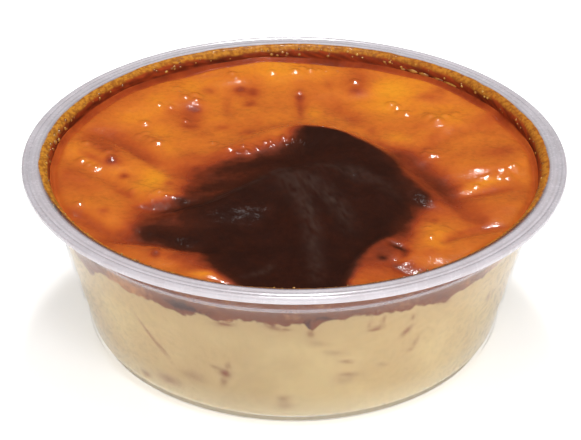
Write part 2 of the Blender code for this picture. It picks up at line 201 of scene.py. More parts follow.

# Patches of (x, y, half-length, half-width, heading in degrees, toast, strength), the last two in
# hundredths. Each pulls the toast towards its own, in turn, so the broad ones come first. The thin dark
# ones that lie along creases paint shade into them.
PATCHES = (
    # broad browning of the right side, the front and the left side
    (30, 4, 6, 5, -50, 46, 50), (37, 5, 7, 4, 0, 34, 50), (33, -5, 6, 3.5, -60, 54, 60),
    (41, -3, 8, 3, 20, 38, 60), (47, -10, 5, 4, 10, 38, 60), (38, -13, 5, 3, 0, 44, 60),
    (43, -19, 7, 4, 0, 38, 55), (18, -37, 6, 5, 60, 60, 70), (23, -41, 5, 3, 30, 54, 70),
    (29, -37, 6, 3, 30, 38, 60), (37, -31, 6, 3, 30, 36, 50), (-44, -23, 7, 3.5, -35, 42, 60),
    (-38, -34, 6, 4, -50, 45, 65), (-28, -38, 7, 4, -30, 44, 60), (-25, 3, 5, 4, -50, 40, 50),
    # back: yellow-orange ground
    (-7, 48, 9, 4, 5, 12, 70), (-3, 46, 6, 5, 90, 5, 70), (7, 46, 5, 4, 0, 12, 60),
    (22.5, 37, 7, 6, 90, 0, 90), (20, 30, 4, 4, 0, 8, 60), (-31, 32, 5, 3.5, 90, 12, 70),
    (-24, 38, 4, 3, 90, 12, 70), (-36, 24, 5, 4, 30, 14, 60), (-17.5, 30, 8, 3, 90, 20, 50),
    (4.5, 26, 5, 2, 90, 14, 60), (34, 29.5, 5, 2.5, 0, 14, 60), (23, 14, 4, 3, 0, 14, 70),
    # back: rust
    (-39, 33, 8, 4, 50, 38, 70), (-44, 27, 5, 3, 55, 38, 70), (-34, 38, 4, 3, 45, 36, 50),
    (-23.5, 26, 5, 2.4, 90, 48, 85), (-22.5, 28, 1.5, 1.2, 0, 60, 80), (-23.5, 20.5, 1.8, 1.3, 0, 52, 80),
    (-11, 36.5, 3.5, 2.6, 0, 42, 80), (-12.5, 38.2, 1.6, 1.3, 0, 58, 85), (-9.5, 36.8, 2, 1.4, 90, 56, 85),
    (-10, 33, 3, 1.6, 90, 38, 60), (-10, 31, 1.6, 1.6, 0, 50, 80), (-15.5, 31, 7, 1, 90, 40, 60),
    (-19.5, 37.5, 1.8, 1.4, 90, 42, 70), (-16, 19.5, 1.8, 1.6, 0, 45, 70), (-10.3, 16.2, 2, 1.8, 0, 48, 70),
    (-8, 21, 2, 1.2, 90, 36, 60), (-28, 26.5, 1.3, 1.3, 0, 40, 60), (1.4, 30, 6.5, 0.8, 90, 48, 85),
    (1.3, 34.5, 1.6, 1.1, 90, 56, 80), (10, 31, 4, 1.8, 115, 38, 70), (13, 24.5, 3, 2, 100, 42, 75),
    (8, 40, 2.4, 1.2, 90, 40, 70), (15, 41, 6.5, 3, 90, 42, 90), (14.3, 37, 1.8, 1.6, 0, 52, 80),
    (17.3, 17.5, 2.5, 1.3, 90, 42, 70), (31, 33, 3, 2, 0, 42, 80), (33.5, 36, 2, 1.8, 45, 42, 70),
    (41, 20.5, 2.5, 2.5, 0, 40, 70), (44.5, 24.5, 3.5, 2.2, 60, 44, 75), (37, 17, 4, 2, 10, 36, 60),
    (31, 15, 4, 1.3, 70, 40, 70), (29, 9.5, 3, 1.4, 60, 42, 60), (22, 19.5, 4, 1.5, 0, 36, 50),
    (28, 20, 2, 1.5, 0, 40, 50), (45.5, 6.5, 4, 3, 20, 47, 80), (46, 2, 5, 2, 20, 34, 60),
    # painted shade: the reddish brown behind the crest of the blister and down its right flank, darkened
    # where the slope faces away from the light
    (-3, 17, 5, 2.5, 0, 45, 70), (6, 14.5, 5, 2, -25, 50, 75), (13, 13, 5, 2.4, -30, 42, 70),
    (19, 10.5, 4, 2, -40, 46, 70), (24, 5.5, 4, 3, -50, 64, 80), (27, 2, 4, 2.6, -55, 62, 70),
    (28, -3, 4.4, 2.8, -60, 68, 80), (31.5, -8, 5, 2.4, -65, 64, 80), (33.5, -13.5, 4.5, 2.2, -70, 58, 80),
    (36.5, -19.5, 3, 1.8, -60, 50, 75),
    # right side, towards the front
    (37, -2, 6, 3, 0, 34, 50), (31, -18, 4, 3, -60, 44, 60), (27, -16, 1.2, 1.2, 0, 62, 80),
    (29, -22.3, 1.4, 1, 90, 58, 80), (28.8, -28, 5.5, 2.2, 85, 18, 85), (29.5, -33.5, 2.5, 2, 0, 16, 60),
    (32.3, -30, 3, 0.9, 55, 46, 70), (35.5, -26, 3, 0.8, 30, 46, 60), (41, -24.8, 5, 0.8, 0, 46, 70),
    (37.5, -28.5, 4, 2, 30, 26, 50), (39, -22, 2, 1.5, 90, 50, 75), (38, -17, 4, 2, -60, 42, 60),
    (40, -10, 5, 0.9, 25, 45, 75), (41, -5.5, 4, 1.2, 25, 8, 80), (37.5, -8.5, 2.5, 1.2, 35, 14, 70),
    (24, -38.5, 3, 2.4, 60, 33, 80), (17.8, -38.6, 1, 1, 0, 80, 80), (21.3, -34.5, 2.2, 0.9, -40, 78, 90),
    (22.2, -37, 1.6, 0.8, -80, 66, 70), (21, -41.5, 1.6, 0.8, -50, 66, 80), (23, -41, 1.8, 1, 10, 62, 80),
    (24.5, -42.3, 2.5, 0.8, 5, 62, 80), (15, -45, 4, 2.5, 20, 38, 75), (13, -47.8, 3, 1.4, 10, 28, 70),
    (28, -39, 4, 1.8, 25, 20, 70), (27, -36.5, 2.5, 1.6, 30, 38, 50), (26.6, -13.8, 3, 2.4, -60, 84, 95),
    (31, -6, 6, 2.6, -62, 68, 60),
    # left side, from the back to the front
    (-22, -38, 4.5, 3.5, 0, 56, 60), (-44.5, 14, 5, 3, -60, 46, 75), (-41, 8, 5, 3, -60, 50, 80),
    (-39.7, 2, 1.8, 1.5, 0, 64, 90), (-43.8, 3.5, 4, 1, -50, 50, 75), (-44, 1.8, 3, 1.2, -40, 10, 70),
    (-23, -2, 3, 1.5, -50, 46, 60), (-30, 17, 5, 4, 0, 14, 60), (-27.5, 9, 4, 3, -40, 14, 60),
    (-22, 5.5, 3, 2.5, 0, 40, 60), (-21, -0.8, 1.2, 1.2, 0, 58, 80), (-16, 4.5, 4, 2, 10, 50, 60),
    (-48, -3, 5, 3.5, 80, 43, 75), (-44, -8, 6, 4, -20, 42, 70), (-30, -5, 6.5, 3.2, 85, 3, 90),
    (-36.6, -3.2, 1.4, 1.2, 90, 54, 85), (-26.7, -7.2, 1.3, 0.9, 90, 48, 70),
    (-24.5, -4.5, 4, 2, -70, 34, 50), (-21.5, -12.3, 1.6, 1.2, 0, 62, 70), (-28, -12.4, 5, 1.8, -8, 22, 80),
    (-28.5, -16, 6, 0.9, 3, 58, 90), (-23.3, -14.9, 2.4, 1.3, 0, 80, 90), (-50.5, -11, 3, 1.5, 75, 44, 60),
    (-44, -12, 5, 3, -10, 30, 60), (-35.5, -11, 2.5, 0.9, -50, 50, 70), (-37, -17, 3, 3, 0, 20, 50),
    (-39.8, -19.5, 1.4, 1.2, 90, 48, 70), (-40, -22, 4, 1, -35, 18, 50), (-45, -19.8, 4, 0.9, -30, 46, 75),
    (-40, -25, 3.5, 0.9, -35, 47, 75), (-35, -27, 2.5, 1, -10, 48, 70), (-36.5, -30.5, 4, 2.5, -10, 54, 80),
    (-30, -34, 4, 2.5, -10, 40, 70), (-28, -37.8, 1.6, 1.1, 90, 66, 80), (-26, -41.5, 4, 2, -30, 22, 80),
    (-18, -46, 3, 1.3, -12, 8, 90), (-14, -48, 3, 1, -10, 30, 70),
)

# Browner patches inside the near-black area, in the same columns.
CHAR_PATCHES = (
    (-20.5, -4.5, 3, 4, 0, 62, 60), (-18, -12, 7, 3, 30, 74, 80), (-9, -4, 7, 3, 15, 80, 75),
    (-14.5, -4, 5, 3.5, 20, 74, 70), (-27, -20.5, 6, 3, -8, 70, 80), (-24.5, -24.5, 5, 2.8, -10, 74, 75),
    (-30.5, -25.5, 3, 2.2, 0, 78, 70), (-29.6, -28, 1.4, 1, 0, 96, 70), (-29.2, -26, 1.2, 1, 0, 90, 70),
    (-12, -43.5, 4, 2.5, -20, 86, 50), (20.5, 0.5, 3, 2.4, -40, 86, 50), (24, -11, 3, 2, -60, 84, 50),
    (22, -26, 4, 2, -80, 84, 50),
)

# Painted sheen on the char: greyish streaks along its ridges, as lines through points of (x, y, strength,
# half-width).
PAINTED_SHEEN_LINES = (
    ((-2, -7, 0.5, 3), (1, -14, 0.8, 2.4), (3.2, -24, 0.9, 1.8), (4, -36, 0.7, 1.6), (4.6, -47, 0.4, 1.6)),
    ((-2, -7, 0.5, 3), (4, -11, 0.8, 2.5), (9, -18, 0.8, 2.2), (11, -26, 0.3, 2)),
    ((4, -4, 0.3, 3), (11, -5, 0.6, 2.4), (18, -9, 0.5, 2), (21, -14, 0.2, 2)),
    ((-19, -17, 0.3, 1.5), (-10, -10.5, 0.5, 1.5), (-3, -5.5, 0.6, 2.4)),
    ((11.5, -46, 0.5, 0.9), (13.5, -39, 0.7, 0.9), (17, -33.5, 0.6, 0.9)),
    ((-10, -45.5, 0.4, 0.8), (-6.5, -43.5, 0.6, 0.8), (-4.6, -40, 0.4, 0.8)),
)

# Small moist blisters that catch the light: (x, y, radius), and trails of them from
# (x, y) to (x, y) with a count and a radius.
BLISTERS = (
    (-14.5, 44, 1.6), (-13.6, 42.3, 1.3), (-5.4, 45.4, 1.3), (0.2, 45.8, 1.5), (1.9, 47.6, 1.2),
    (3.8, 46.2, 1.3), (6, 46.6, 0.9), (1.2, 36.8, 1.2), (14, 41, 1.6), (-26.8, 37, 1.4), (-24.9, 32.6, 1.3),
    (-22.5, 34.2, 1.6), (-22.2, 31.2, 1.4), (-30.5, 29.2, 1), (-28, 28.8, 1), (-24.3, 23, 1.1),
    (-33.5, 21.2, 1.5), (-17.9, 11.4, 1.3), (-16.3, 9.6, 1.2), (-14.5, 6.9, 1.4), (-45.5, 10.2, 1.8),
    (-43.2, 9.1, 1.2), (-40.3, 5.9, 1.8), (-39.6, 3.5, 1.5), (-37.8, 6.4, 1), (-46.3, 3, 1.7),
    (-44.5, 1.2, 1.3), (-43, 0, 1.3), (29.7, 25, 1.3), (30.4, 23.4, 2), (32, 21, 2.1), (34, 23.4, 1.6),
    (36.5, 25.4, 1.1), (29.3, 8.6, 1.2), (28.5, 6.9, 1.2), (29.8, 6, 1.3), (31.2, 5.6, 1),
    (-34.6, -10, 1.2), (-45.3, -16.5, 1.3), (-28, -36.3, 1.3), (27.3, -26, 1), (28, -30.4, 1),
)
BLISTER_TRAILS = (
    (-35, 16.6, -29.8, 12, 11, 1.2), (22.2, 30, 24.2, 26.6, 5, 1.4), (-12, 5.6, -1.5, 9.6, 14, 1.05),
    (-1, 8.6, 2, 7.4, 4, 1), (42.3, -4.4, 48.4, 0, 13, 1.2), (38, -6.5, 42, -4.4, 5, 0.9),
    (-31, -12.4, -25.6, -13.4, 9, 0.95),
)
BLISTER_STEEPNESS = 0.31
BLISTER_SCATTER = 1.2
BLISTER_SIZES = (0.5, 1.35)
BLISTER_SEED = 12

# ------------ the side, seen through the wall
# The lower edge of the brown crust: (angle in degrees, height), round the whole tub
CRUST_EDGE = (
    (-180, 30.8), (-160, 30.1), (-140, 31.1), (-120, 29.9), (-100, 30.5), (-80, 29.3), (-66, 28.7),
    (-57, 26.9), (-51, 29.7), (-44, 29.9), (-38, 28.9), (-33, 29.7), (-30, 29.1), (-26, 28.1), (-22, 29.5),
    (-17, 28.7), (-13, 29.5), (-9, 30.1), (-5, 29.1), (-1, 29.5), (2, 29.9), (4, 27.5), (6, 30.1),
    (9, 30.5), (15, 30.6), (22, 30), (28, 29.9), (33, 29.5), (37, 28.3), (40, 29.7), (46, 29.9), (53, 30.5),
    (62, 31.1), (75, 30.7), (90, 30.1), (110, 30.9), (130, 29.9), (150, 30.7), (180, 30.8),
)
# How dark the crust is: (angle in degrees, height, half-width in degrees, half-height, darkness)
CRUST_TONES = (
    (-57, 28.5, 4, 1.5, 0.3), (-42, 31, 6, 2, -0.45), (-33, 31, 3, 2, 0), (-27, 30.8, 3.6, 1.4, 0.75),
    (-20, 30.5, 4, 0.9, 0.4), (-9, 31, 3, 0.9, 0.35), (3, 29.5, 1.4, 2, 0.55), (7, 31.2, 3, 0.7, 0.5),
    (1, 31.8, 3, 1, -0.2), (12, 31.8, 4, 0.7, 0.35), (26, 31.6, 6, 1, -0.1), (36, 30.4, 3, 1.1, 0.3),
    (55, 32, 8, 2, -0.4),
)
# Spots and smears in the cream: (angle, height, half-width in degrees, half-height, lean, strength)
# where lean is the degrees that the spot shifts for each millimetre up.
SPOT_STRENGTH = 1.5
SPOTS = (
    (-37.3, 18.6, 0.6, 4, -0.85, 0.55), (-34.4, 16.2, 0.6, 1.6, -0.85, 0.5),
    (-43, 5.8, 1.6, 0.8, 0.5, 0.45), (-34.5, 7.4, 3.4, 1.3, 0.3, 0.42), (-26.5, 11, 3.2, 1.4, 0, 0.28),
    (-17.2, 14, 1.5, 1.2, 0, 0.75), (-17.8, 11.6, 0.9, 1.3, 0.3, 0.5), (-16.3, 16.2, 0.6, 1.2, 0.4, 0.45),
    (-19.4, 15.2, 1.3, 0.5, -1, 0.4), (-2.6, 8.2, 1.7, 1, 0, 0.36), (-2.4, 6.4, 2.2, 1.1, 0, 0.28),
    (13.5, 14.4, 2.4, 0.7, -1.5, 0.42), (13, 13.2, 3.2, 1.6, 0, 0.2), (12.8, 18.3, 1.6, 0.6, -1.4, 0.45),
    (9.5, 21.2, 2.4, 0.9, -1.4, 0.22), (5.5, 24.2, 2.2, 1, -1.2, 0.2), (19.2, 26.5, 1.7, 0.5, 1.2, 0.75),
    (20.6, 28.4, 0.5, 1.5, 0.2, 0.4), (17.4, 27.8, 0.5, 1.4, 0.2, 0.3), (27.4, 23.8, 0.9, 1.2, 0.8, 0.7),
    (28.4, 27.3, 0.6, 0.8, 0.2, 0.5), (30.6, 19.6, 0.6, 1.4, 0.3, 0.4), (29.6, 18, 0.8, 0.6, 0, 0.35),
    (22.4, 15.6, 1.4, 0.5, -1.4, 0.25), (56, 21.4, 1, 1, -0.6, 0.45), (-16, 28.2, 2, 0.6, 1.6, 0.7),
    (-4.5, 28.6, 1.6, 0.5, -1.6, 0.7), (-2, 28.2, 1.2, 0.5, 1, 0.5), (3.8, 27, 0.8, 1, 0, 0.55),
    (37, 28.6, 1.6, 0.6, -1, 0.45),
    # round the back
    (-150, 15, 1.6, 1.4, 0.3, 0.6), (-128, 22, 2.2, 0.8, 1, 0.4), (-112, 9, 2.6, 1.2, 0, 0.4),
    (98, 12, 1.4, 1.4, -0.5, 0.5), (118, 24, 1, 1.6, 0.6, 0.6), (140, 8, 3, 1.2, 0.2, 0.4),
    (165, 19, 1.4, 1.2, 0, 0.6), (-172, 27, 1.2, 1, 0.8, 0.6),
)

# ------------ the mesh of the custard
COLUMNS = 520
SKIN_ROWS = 100
SKIN_FINE_RADIUS = 51.0
SKIN_EDGE_RADII = (51.3, 51.6, 51.85, 52.1, 52.3, 52.45)
INTO_WALL = 0.08
FILM_START = 37.6
FILM_PROUD = 0.16
FILM_ROWS = 16
FILM_REACH = 3.85
FILM_FRONT_LACK = 1.6
SIDE_TOP = 37.3
SIDE_ROWS = 50
ROUNDING_ROWS = 6
BOTTOM_RADII = (36, 24, 12)

# The fine relief: heights in mm, and the radii between which it fades out towards the wall
DIMPLE_HEIGHT = 0.10
RIPPLE_HEIGHT = 0.035
WRINKLE_HEIGHT = 0.05
RELIEF_FADE = (52.0, 50.5)
# The film of syrup sets in between these radii, and thins out from this share of its height
FILM_ONSET = (50.4, 51.4)
FILM_THINNING = 0.8
FILM_LUMPS = 0.06
# Round the tub, noise is read on a circle of this radius
NOISE_RADIUS = 52

# ------------ helpers: numbers


def srgb(red, green, blue):
    """A shader colour from the 0 to 255 values that a screen shows."""

    def linear(value):
        value /= 255
        return value / 12.92 if value <= 0.04045 else ((value + 0.055) / 1.055) ** 2.4

    return (linear(red), linear(green), linear(blue), 1.0)


def smoothstep(low, high, value):
    share = np.clip((value - low) / (high - low), 0, 1)
    return share * share * (3 - 2 * share)


def patchy(x, y, size, seed):
    """Smooth random lumps between -1 and 1, about as wide as size."""
    table = np.random.default_rng(seed).uniform(-1, 1, (97, 97))
    u, v = x / size + 31.7, y / size + 17.3
    column, row = np.floor(u).astype(int), np.floor(v).astype(int)
    u, v = u - column, v - row
    u, v = u * u * (3 - 2 * u), v * v * (3 - 2 * v)
    corners = [table[(column + i) % 97, (row + j) % 97] for i, j in ((0, 0), (1, 0), (0, 1), (1, 1))]
    near = corners[0] * (1 - u) + corners[1] * u
    far = corners[2] * (1 - u) + corners[3] * u
    return near * (1 - v) + far * v


def arc(centre, radius, start, end, steps):
    """Points of (radius from the axis, height) on an arc, between two angles in degrees."""
    angles = np.radians(np.linspace(start, end, steps + 1))
    return [(centre[0] + radius * math.cos(a), centre[1] + radius * math.sin(a)) for a in angles]


def outer_wall_radius(height):
    share = (height - BASE_ROUNDING) / (NECK_HEIGHT - BASE_ROUNDING)
    return BASE_RADIUS + share * (NECK_RADIUS - BASE_RADIUS)


def inner_wall_radius(height):
    return outer_wall_radius(height) - WALL


# The inside of the tub: the start of the rounding at its foot, and the neck, which goes straight up
# from FLARE_START and then rounds outwards into the mouth
INNER_CORNER = FLOOR_HEIGHT + INNER_ROUNDING
INNER_FOOT = inner_wall_radius(INNER_CORNER) - INNER_ROUNDING
THROAT_RADIUS = inner_wall_radius(FLARE_START)
FLARE_CENTRE = MOUTH_RADIUS - MOUTH_ROUNDING
FLARE_RADIUS = FLARE_CENTRE - THROAT_RADIUS
FLARE_CENTRE_HEIGHT = RIM_HEIGHT - MOUTH_ROUNDING - FLARE_RADIUS
FLARE_STEPS = 14
FLARE = arc((FLARE_CENTRE, FLARE_CENTRE_HEIGHT), FLARE_RADIUS, 180, FLARE_END_DEGREES, FLARE_STEPS)
MOUTH_EDGE = [(MOUTH_RADIUS, RIM_HEIGHT - MOUTH_DIP), (MOUTH_RADIUS + MOUTH_ROUNDING, RIM_HEIGHT)]


def neck_surface(climb):
    """(radius, height) and the way out of the plastic, at a climb in mm up the inside of the neck."""
    line = np.array([(THROAT_RADIUS, FILM_START)] + FLARE + MOUTH_EDGE)
    steps = np.diff(line, axis=0)
    lengths = np.hypot(steps[:, 0], steps[:, 1])
    travelled = np.concatenate([[0], np.cumsum(lengths)])
    middles = (travelled[1:] + travelled[:-1]) / 2
    slopes = np.arctan2(steps[:, 1], steps[:, 0])
    radius = np.interp(climb, travelled, line[:, 0])
    height = np.interp(climb, travelled, line[:, 1])
    slope = np.interp(climb, middles, slopes)
    return radius, height, -np.sin(slope), np.cos(slope)


# ------------ the relief of the skin


def smooth_line(knots):
    """A Catmull-Rom line through the knots, sampled as an array with the knots' own columns."""
    knots = np.array(knots, dtype=float)
    first, last = 2 * knots[0] - knots[1], 2 * knots[-1] - knots[-2]
    chain = np.vstack([first, knots, last])
    samples = []
    for before, start, end, after in zip(chain, chain[1:], chain[2:], chain[3:]):
        for t in np.arange(LINE_SAMPLES) / LINE_SAMPLES:
            slope = (end - before) * t
            bend = (2 * before - 5 * start + 4 * end - after) * t**2
            twist = (3 * start - before - 3 * end + after) * t**3
            samples.append(0.5 * (2 * start + slope + bend + twist))
    samples.append(knots[-1])
    return np.array(samples)


def nearest_on_line(line, x, y):
    """Each point's distance to a line, the line's other columns there, and the point's side of it."""
    closest = np.full(len(x), np.inf)
    columns = np.zeros((line.shape[1] - 2, len(x)))
    side = np.zeros(len(x))
    for start, end in zip(line, line[1:]):
        run, climb = end[:2] - start[:2]
        length = math.hypot(run, climb)
        along = np.clip(((x - start[0]) * run + (y - start[1]) * climb) / length**2, 0, 1)
        away_x, away_y = x - start[0] - along * run, y - start[1] - along * climb
        distance = np.hypot(away_x, away_y)
        nearer = distance < closest
        closest = np.where(nearer, distance, closest)
        turn = (run * away_y - climb * away_x) / (length * (distance + SIDE_SOFTNESS))
        side = np.where(nearer, turn, side)
        columns = np.where(nearer, start[2:, None] + along * (end - start)[2:, None], columns)
    return closest, columns, side


def line_profile(knots, x, y, steepness=LINE_STEEPNESS):
    """How high a line's profile stands over each point: full on the line, fading over its half-widths."""
    distance, columns, side = nearest_on_line(smooth_line(knots), x, y)
    rise, left, right = columns[0], columns[1], columns[-1]
    width = left * (0.5 + 0.5 * side) + right * (0.5 - 0.5 * side)
    return rise * np.exp(-((distance / width) ** steepness))


def blister_height(x, y):
    """The ridges of the dark blister, blended like cloth over tent poles."""
    layers = [line_profile(ridge, x, y, TENT_STEEPNESS) for ridge in BLISTER_RIDGES]
    total = sum(np.exp(layer / TENT_BLEND) for layer in layers)
    return TENT_BLEND * np.log(total / len(layers))


def skin_height(x, y):
    """The height of the burnt skin over the surface that the tub stands on."""
    radius = np.hypot(x, y)
    height = SKIN_LEVEL - SAG * np.exp(-(((radius - SAG_RADIUS) / SAG_WIDTH) ** 2))
    for length, swell, heading, phase in SWELLS:
        along = x * math.cos(math.radians(heading)) + y * math.sin(math.radians(heading))
        height = height + swell * np.sin(2 * math.pi * along / length + phase)
    height = height + np.maximum(blister_height(x, y), 0)
    for ridge in FOLD_RIDGES:
        height = height + line_profile(ridge, x, y)
    for crease in CREASES:
        height = height - line_profile(crease, x, y)

    # at the wall: a shallow groove, then a collar that clings to the plastic
    groove = GROOVE_DEPTH * np.exp(-(((radius - GROOVE_RADIUS) / GROOVE_WIDTH) ** 2))
    collar_width = inner_wall_radius(SKIN_LEVEL) - GROOVE_RADIUS
    collar = COLLAR_RISE * np.clip((radius - GROOVE_RADIUS) / collar_width, 0, 1)
    return height - groove + collar


def char_cover(x, y):
    """How charred each point is, from 1 inside the blister to 0, and how browned it is round it."""
    line = smooth_line(CHAR_OUTLINE + CHAR_OUTLINE[:1])
    distance, (fade, halo), _ = nearest_on_line(line, x, y)
    inside = np.zeros(len(x), dtype=bool)
    for (x0, y0), (x1, y1) in zip(line[:, :2], line[1:, :2]):
        if y0 != y1:
            inside ^= ((y0 > y) != (y1 > y)) & (x < x0 + (x1 - x0) * (y - y0) / (y1 - y0))
    signed = np.where(inside, distance, -distance)
    signed = signed + 0.25 * fade * (patchy(x, y, 2.6, 13) + 0.6 * patchy(x, y, 1.1, 14))
    browning = np.exp(-((np.where(inside, 0, distance) / halo) ** 2))
    return smoothstep(-1, 1, signed / fade), browning


def paint(toast_and_shade, patches, x, y):
    """Pulls the toast towards that of each patch, in turn."""
    for centre_x, centre_y, half_length, half_width, heading, patch_toast_and_shade, strength in patches:
        cosine, sine = math.cos(math.radians(heading)), math.sin(math.radians(heading))
        along = ((x - centre_x) * cosine + (y - centre_y) * sine) / half_length
        across = ((y - centre_y) * cosine - (x - centre_x) * sine) / half_width
        weight = strength / 100 * np.exp(-(along**2) - across**2)
        toast_and_shade = toast_and_shade + weight * (patch_toast_and_shade / 100 - toast_and_shade)
    return toast_and_shade


def skin_toast_and_shade(x, y, char, browning):
    toast_and_shade = PLAIN_TOAST + 0.05 * patchy(x, y, 9, 3) + 0.04 * patchy(x, y, 3.5, 4)
    toast_and_shade = toast_and_shade + HALO_TOAST * browning
    # painted shade in the creases, painted light on the fold ridges
    toast_and_shade = toast_and_shade + CREASE_SHADE * sum(line_profile(crease, x, y) for crease in CREASES)
    toast_and_shade = toast_and_shade - RIDGE_LIGHT * sum(line_profile(ridge, x, y) for ridge in FOLD_RIDGES)
    toast_and_shade = paint(toast_and_shade, PATCHES, x, y)
    backward = 0.5 + 0.5 * y / np.maximum(np.hypot(x, y), 1)
    rust = COLLAR_TOAST * (0.55 + 0.45 * backward) + 0.06 * patchy(x, y, 4, 12)
    toast_and_shade = toast_and_shade + smoothstep(COLLAR_START, COLLAR_FULL, np.hypot(x, y)) * (rust - toast_and_shade)
    toast_and_shade = PLAIN_TOAST + TOAST_CONTRAST * (toast_and_shade - PLAIN_TOAST)
    burnt = CHAR_TOAST + 0.03 * patchy(x, y, 3, 5)
    toast_and_shade = toast_and_shade + char * (burnt - toast_and_shade)
    toast_and_shade = paint(toast_and_shade, CHAR_PATCHES, x, y)
    return toast_and_shade + 0.02 * patchy(x, y, 1.4, 6)


def char_painted_sheen(x, y, char):
    """How much painted sheen, greyish streaks along its ridges, each point of the char shows, broken into
    fine hairs.
    """
    sheen = np.max([line_profile(sheen_line, x, y) for sheen_line in PAINTED_SHEEN_LINES], axis=0)
    hairs = 0.55 + 0.45 * patchy(x + 0.25 * y, 0.35 * y, 0.6, 15) + 0.25 * patchy(x, y, 1.5, 16)
    return char * np.clip(sheen * hairs, 0, 1)


def small_blisters():
    """All moist blisters as rows of (x, y, radius)."""
    random = np.random.default_rng(BLISTER_SEED)
    rows = list(BLISTERS)
    for x0, y0, x1, y1, count, radius in BLISTER_TRAILS:
        for share in (np.arange(count) + random.uniform(0.2, 0.8, count)) / count:
            right, back = random.uniform(-BLISTER_SCATTER, BLISTER_SCATTER, 2) * radius
            size = radius * random.uniform(*BLISTER_SIZES)
            rows.append((x0 + share * (x1 - x0) + right, y0 + share * (y1 - y0) + back, size))
    return rows


def fine_relief(x, y, char):
    """What the frame's solid leaves out: dimples, small moist blisters, and the char's wrinkles."""
    relief = DIMPLE_HEIGHT * patchy(x, y, 5, 7) + RIPPLE_HEIGHT * patchy(x, y, 2.1, 8)
    relief = relief * (1 - 0.5 * char)

    # wrinkles that run down from the peak of the blister
    reach = np.hypot(x - PEAK[0], y - PEAK[1])
    heading = np.degrees(np.arctan2(y - PEAK[1], x - PEAK[0]))
    ribs = 1 - 2 * np.abs(patchy(heading / 7 + 0.15 * patchy(x, y, 6, 9), reach / 9, 1, 10))
    wrinkles = WRINKLE_HEIGHT * (ribs + 0.6 * patchy(x, y, 1.1, 11))
    relief = relief + char * smoothstep(3, 12, reach) * wrinkles

    domes, moist = np.zeros((2, len(x)))
    for centre_x, centre_y, radius in small_blisters():
        away = np.hypot(x - centre_x, y - centre_y) / radius
        dome = np.clip(1 - away**2, 0, 1)
        domes = np.maximum(domes, BLISTER_STEEPNESS * radius * dome * np.sqrt(dome))
        moist = np.maximum(moist, np.sqrt(dome))
    return relief + domes, moist


# ------------ meshes


def ring(angle, radius, height):
    """Points round the tub's axis; the radius and the height may differ from angle to angle."""
    level = np.broadcast_to(height, len(angle))
    return np.stack([radius * np.sin(angle), -radius * np.cos(angle), level], axis=1)


def ring_faces(rows, columns):
    """Faces through rows of points, closed by a fan at each end, whose tips are the last two points."""
    turn = np.arange(columns)
    after = np.roll(turn, -1)
    faces = []
    for upper in range(0, (rows - 1) * columns, columns):
        lower = upper + columns
        faces += np.stack([upper + turn, lower + turn, lower + after, upper + after], axis=1).tolist()
    top, last_row = rows * columns, (rows - 1) * columns
    for here, there in zip(turn.tolist(), after.tolist()):
        faces += [[top, here, there], [last_row + there, last_row + here, top + 1]]
    return faces


def smooth_mesh(name, points, faces):
    """A mesh from points in mm."""
    mesh = bpy.data.meshes.new(name)
    mesh.from_pydata((np.array(points) * MM).tolist(), [], faces)
    mesh.shade_smooth()
    return mesh


def mesh_of_rings(name, rings):
    tips = [rings[0].mean(axis=0), rings[-1].mean(axis=0)]
    return smooth_mesh(name, np.vstack(rings + tips), ring_faces(len(rings), len(rings[0])))


def add_object(name, data):
    thing = bpy.data.objects.new(name, data)
    bpy.context.scene.collection.objects.link(thing)
    return thing


def add_piece(name, mesh, material, replaces=()):
    piece = add_object(name, mesh)
    mesh.materials.append(material)
    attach(piece, "root")
    for node in replaces:
        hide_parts(node)


def set_attribute(mesh, name, values):
    layer = mesh.attributes.new(name, "FLOAT", "POINT")
    layer.data.foreach_set("value", np.asarray(values, dtype=np.float32))


def angle_noise(angle, size, seed):
    """Smooth lumps along the rim, without a seam; size is in mm."""
    return patchy(NECK_RADIUS * np.sin(angle), NECK_RADIUS * np.cos(angle), size, seed)


def angle_curve(knots, angle):
    """A value read from (degrees, value) knots, for angles in radians."""
    degrees = (np.degrees(angle) + 180) % 360 - 180
    return np.interp(degrees, [k[0] for k in knots], [k[1] for k in knots])


